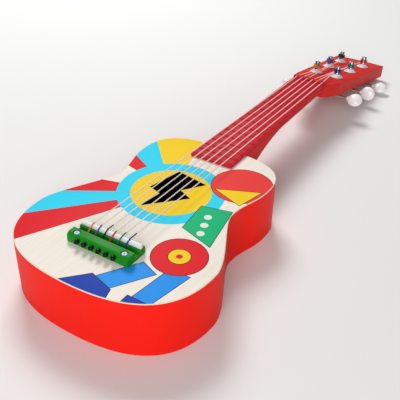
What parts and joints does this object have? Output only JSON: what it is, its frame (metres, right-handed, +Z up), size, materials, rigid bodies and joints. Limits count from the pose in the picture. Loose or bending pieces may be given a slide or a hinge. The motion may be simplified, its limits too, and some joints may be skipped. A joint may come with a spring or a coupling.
{
  "type": "small guitar",
  "caption": "Child's guitar with a hollow body, cut-out sound hole, moulded fretboard and bridge, and open tuning machines whose keys turn the string posts.",
  "frame": {"origin": "on the flat back's outer face, on the middle line, at the widest line of the lower bout", "axes": "+Y towards the head, +X towards the thin strings' side, +Z up out of the soundboard"},
  "size_m": [0.158, 0.5491, 0.0569],
  "materials": {
    "birch_plywood": "satin lacquer over pale birch, printed design",
    "orange_paint": "satin orange-red paint",
    "bare_spruce": "unfinished",
    "crimson_moulding": "satin moulded",
    "green_moulding": "satin moulded",
    "white_plastic": "glossy",
    "pearl_plastic": "pearly, glossy",
    "black_plastic": "glossy",
    "nylon": "clear nylon with dyed ends",
    "chrome": "polished",
    "zinc_steel": "zinc plated"
  },
  "bodies": {
    "guitar": {"soundboard": "birch_plywood", "back": "orange_paint", "rib_left": "orange_paint", "rib_right": "orange_paint", "neck_block": "bare_spruce", "tail_block": "bare_spruce", "top_brace_upper": "bare_spruce", "top_brace_lower": "bare_spruce", "back_brace_upper": "bare_spruce", "back_brace_lower": "bare_spruce", "bridge_plate": "bare_spruce", "neck": "orange_paint", "fretboard": "crimson_moulding", "nut": "crimson_moulding", "bridge": "green_moulding", "saddle": "white_plastic", "bridge_screw_left": "chrome", "bridge_screw_right": "chrome", "string_ball_1": "black_plastic", "string_ball_2": "black_plastic", "string_ball_3": "black_plastic", "string_ball_4": "black_plastic", "string_ball_5": "black_plastic", "string_ball_6": "black_plastic", "string_1": "nylon", "string_2": "nylon", "string_3": "nylon", "string_4": "nylon", "string_5": "nylon", "string_6": "nylon", "post_bush_left_1": "white_plastic", "machine_plate_left_1": "zinc_steel", "post_bush_left_2": "white_plastic", "machine_plate_left_2": "zinc_steel", "post_bush_left_3": "white_plastic", "machine_plate_left_3": "zinc_steel", "post_bush_right_1": "white_plastic", "machine_plate_right_1": "zinc_steel", "post_bush_right_2": "white_plastic", "machine_plate_right_2": "zinc_steel", "post_bush_right_3": "white_plastic", "machine_plate_right_3": "zinc_steel"},
    "post_left_1": {"string_post_left_1": "chrome"},
    "key_left_1": {"worm_shaft_left_1": "zinc_steel", "key_button_left_1": "pearl_plastic"},
    "post_left_2": {"string_post_left_2": "chrome"},
    "key_left_2": {"worm_shaft_left_2": "zinc_steel", "key_button_left_2": "pearl_plastic"},
    "post_left_3": {"string_post_left_3": "chrome"},
    "key_left_3": {"worm_shaft_left_3": "zinc_steel", "key_button_left_3": "pearl_plastic"},
    "post_right_1": {"string_post_right_1": "chrome"},
    "key_right_1": {"worm_shaft_right_1": "zinc_steel", "key_button_right_1": "pearl_plastic"},
    "post_right_2": {"string_post_right_2": "chrome"},
    "key_right_2": {"worm_shaft_right_2": "zinc_steel", "key_button_right_2": "pearl_plastic"},
    "post_right_3": {"string_post_right_3": "chrome"},
    "key_right_3": {"worm_shaft_right_3": "zinc_steel", "key_button_right_3": "pearl_plastic"}
  },
  "joints": [
    {"name": "key_turn_left_1", "type": "hinge", "parent": "guitar", "child": "key_left_1", "pos_m": [-0.0123, 0.35905, 0.02288], "axis": [-1, 0, 0], "continuous": true},
    {"name": "post_turn_left_1", "type": "hinge", "parent": "guitar", "child": "post_left_1", "pos_m": [-0.0123, 0.36952, 0.03904], "axis": [0, 0.1822, 0.9833], "continuous": true},
    {"name": "key_turn_left_2", "type": "hinge", "parent": "guitar", "child": "key_left_2", "pos_m": [-0.01325, 0.40035, 0.01523], "axis": [-1, 0, 0], "continuous": true},
    {"name": "post_turn_left_2", "type": "hinge", "parent": "guitar", "child": "post_left_2", "pos_m": [-0.01325, 0.41082, 0.03139], "axis": [0, 0.1822, 0.9833], "continuous": true},
    {"name": "key_turn_left_3", "type": "hinge", "parent": "guitar", "child": "key_left_3", "pos_m": [-0.0142, 0.44165, 0.00757], "axis": [-1, 0, 0], "continuous": true},
    {"name": "post_turn_left_3", "type": "hinge", "parent": "guitar", "child": "post_left_3", "pos_m": [-0.0142, 0.45212, 0.02374], "axis": [0, 0.1822, 0.9833], "continuous": true},
    {"name": "key_turn_right_1", "type": "hinge", "parent": "guitar", "child": "key_right_1", "pos_m": [0.0123, 0.35905, 0.02288], "axis": [1, 0, 0], "continuous": true},
    {"name": "post_turn_right_1", "type": "hinge", "parent": "guitar", "child": "post_right_1", "pos_m": [0.0123, 0.36952, 0.03904], "axis": [0, 0.1822, 0.9833], "continuous": true},
    {"name": "key_turn_right_2", "type": "hinge", "parent": "guitar", "child": "key_right_2", "pos_m": [0.01325, 0.40035, 0.01523], "axis": [1, 0, 0], "continuous": true},
    {"name": "post_turn_right_2", "type": "hinge", "parent": "guitar", "child": "post_right_2", "pos_m": [0.01325, 0.41082, 0.03139], "axis": [0, 0.1822, 0.9833], "continuous": true},
    {"name": "key_turn_right_3", "type": "hinge", "parent": "guitar", "child": "key_right_3", "pos_m": [0.0142, 0.44165, 0.00757], "axis": [1, 0, 0], "continuous": true},
    {"name": "post_turn_right_3", "type": "hinge", "parent": "guitar", "child": "post_right_3", "pos_m": [0.0142, 0.45212, 0.02374], "axis": [0, 0.1822, 0.9833], "continuous": true}
  ],
  "couplings": [
    {"joint": "post_turn_left_1", "follows": "key_turn_left_1", "ratio": -0.071429},
    {"joint": "post_turn_left_2", "follows": "key_turn_left_2", "ratio": -0.071429},
    {"joint": "post_turn_left_3", "follows": "key_turn_left_3", "ratio": -0.071429},
    {"joint": "post_turn_right_1", "follows": "key_turn_right_1", "ratio": -0.071429},
    {"joint": "post_turn_right_2", "follows": "key_turn_right_2", "ratio": -0.071429},
    {"joint": "post_turn_right_3", "follows": "key_turn_right_3", "ratio": -0.071429}
  ]
}
